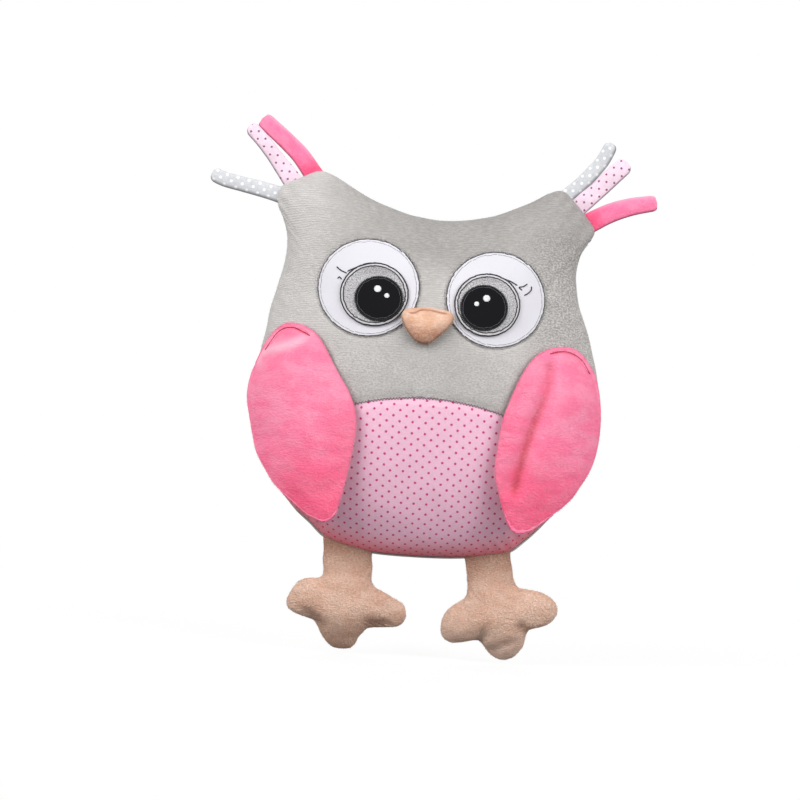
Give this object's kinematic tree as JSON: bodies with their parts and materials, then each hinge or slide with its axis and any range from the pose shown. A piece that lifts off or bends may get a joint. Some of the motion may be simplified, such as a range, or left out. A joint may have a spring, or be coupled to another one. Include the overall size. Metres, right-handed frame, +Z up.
{
  "type": "plush owl",
  "caption": "Flat stuffed plush owl with a two-part sewn front, layered applique eyes, a padded beak, hanging padded wings and legs, and ribbon tufts on its ears.",
  "frame": {"origin": "middle of the belly, in the plane of the side seam, where a hand holds the toy", "axes": "+X to the right as seen from the front, -Y the way the face looks, +Z up to the ears"},
  "size_m": [0.2497, 0.0832, 0.2958],
  "materials": {
    "grey_plush": "short plush",
    "dotted_cotton": "printed cotton",
    "white_felt": "smooth velour",
    "iris_fabric": "glittery fabric",
    "black_fabric": "satin fabric",
    "peach_velour": "velour",
    "pink_plush": "short plush",
    "beige_plush": "nubby plush",
    "polyester_fill": "loose fibre",
    "pink_ribbon": "velour ribbon",
    "dotted_ribbon": "printed cotton ribbon",
    "grey_ribbon": "printed cotton ribbon"
  },
  "bodies": {
    "torso": {"face_panel": "grey_plush", "belly_panel": "dotted_cotton", "back_panel": "grey_plush", "body_stuffing": "polyester_fill", "eye_white_left": "white_felt", "eye_iris_left": "iris_fabric", "eye_pupil_left": "black_fabric", "eye_white_right": "white_felt", "eye_iris_right": "iris_fabric", "eye_pupil_right": "black_fabric"},
    "beak": {"beak_front": "peach_velour", "beak_back": "peach_velour", "beak_stuffing": "polyester_fill"},
    "wing_left": {"wing_left_front": "pink_plush", "wing_left_back": "pink_plush", "wing_left_wadding": "polyester_fill"},
    "wing_right": {"wing_right_front": "pink_plush", "wing_right_back": "pink_plush", "wing_right_wadding": "polyester_fill"},
    "leg_left": {"leg_left_front": "beige_plush", "leg_left_back": "beige_plush", "leg_left_stuffing": "polyester_fill"},
    "leg_right": {"leg_right_front": "beige_plush", "leg_right_back": "beige_plush", "leg_right_stuffing": "polyester_fill"},
    "tuft_left_pink": {"tuft_left_pink": "pink_ribbon"},
    "tuft_left_dotted": {"tuft_left_dotted": "dotted_ribbon"},
    "tuft_left_grey": {"tuft_left_grey": "grey_ribbon"},
    "tuft_right_grey": {"tuft_right_grey": "grey_ribbon"},
    "tuft_right_dotted": {"tuft_right_dotted": "dotted_ribbon"},
    "tuft_right_pink": {"tuft_right_pink": "pink_ribbon"}
  },
  "joints": [
    {"name": "beak_lift", "type": "hinge", "parent": "torso", "child": "beak", "pos_m": [0, -0.03685, 0.04513], "axis": [-1, 0, 0], "range_deg": [0, 35]},
    {"name": "wing_left_lift", "type": "hinge", "parent": "torso", "child": "wing_left", "pos_m": [-0.07988, -0.01799, 0.0283], "axis": [-0.7234, 0.6321, -0.2777], "range_deg": [0, 120]},
    {"name": "wing_right_lift", "type": "hinge", "parent": "torso", "child": "wing_right", "pos_m": [0.07988, -0.01799, 0.0283], "axis": [-0.7234, -0.6321, 0.2777], "range_deg": [0, 120]},
    {"name": "leg_left_swing", "type": "hinge", "parent": "torso", "child": "leg_left", "pos_m": [-0.03896, 0, -0.09004], "axis": [0.9834, 0, -0.1817], "range_deg": [-60, 60]},
    {"name": "leg_right_swing", "type": "hinge", "parent": "torso", "child": "leg_right", "pos_m": [0.03896, 0, -0.09004], "axis": [0.9834, 0, 0.1817], "range_deg": [-60, 60]},
    {"name": "tuft_left_pink_bend", "type": "hinge", "parent": "torso", "child": "tuft_left_pink", "pos_m": [-0.0725, 0, 0.11677], "axis": [0.7696, 0, 0.6385], "range_deg": [-60, 60], "stiffness_Nm_per_rad": 0.002},
    {"name": "tuft_left_dotted_bend", "type": "hinge", "parent": "torso", "child": "tuft_left_dotted", "pos_m": [-0.08109, 0, 0.10965], "axis": [0.7696, 0, 0.6385], "range_deg": [-60, 60], "stiffness_Nm_per_rad": 0.002},
    {"name": "tuft_left_grey_bend", "type": "hinge", "parent": "torso", "child": "tuft_left_grey", "pos_m": [-0.08967, 0, 0.10253], "axis": [0.7696, 0, 0.6385], "range_deg": [-60, 60], "stiffness_Nm_per_rad": 0.002},
    {"name": "tuft_right_grey_bend", "type": "hinge", "parent": "torso", "child": "tuft_right_grey", "pos_m": [0.0725, 0, 0.11677], "axis": [0.7696, 0, -0.6385], "range_deg": [-60, 60], "stiffness_Nm_per_rad": 0.002},
    {"name": "tuft_right_dotted_bend", "type": "hinge", "parent": "torso", "child": "tuft_right_dotted", "pos_m": [0.08109, 0, 0.10965], "axis": [0.7696, 0, -0.6385], "range_deg": [-60, 60], "stiffness_Nm_per_rad": 0.002},
    {"name": "tuft_right_pink_bend", "type": "hinge", "parent": "torso", "child": "tuft_right_pink", "pos_m": [0.08967, 0, 0.10253], "axis": [0.7696, 0, -0.6385], "range_deg": [-60, 60], "stiffness_Nm_per_rad": 0.002}
  ]
}
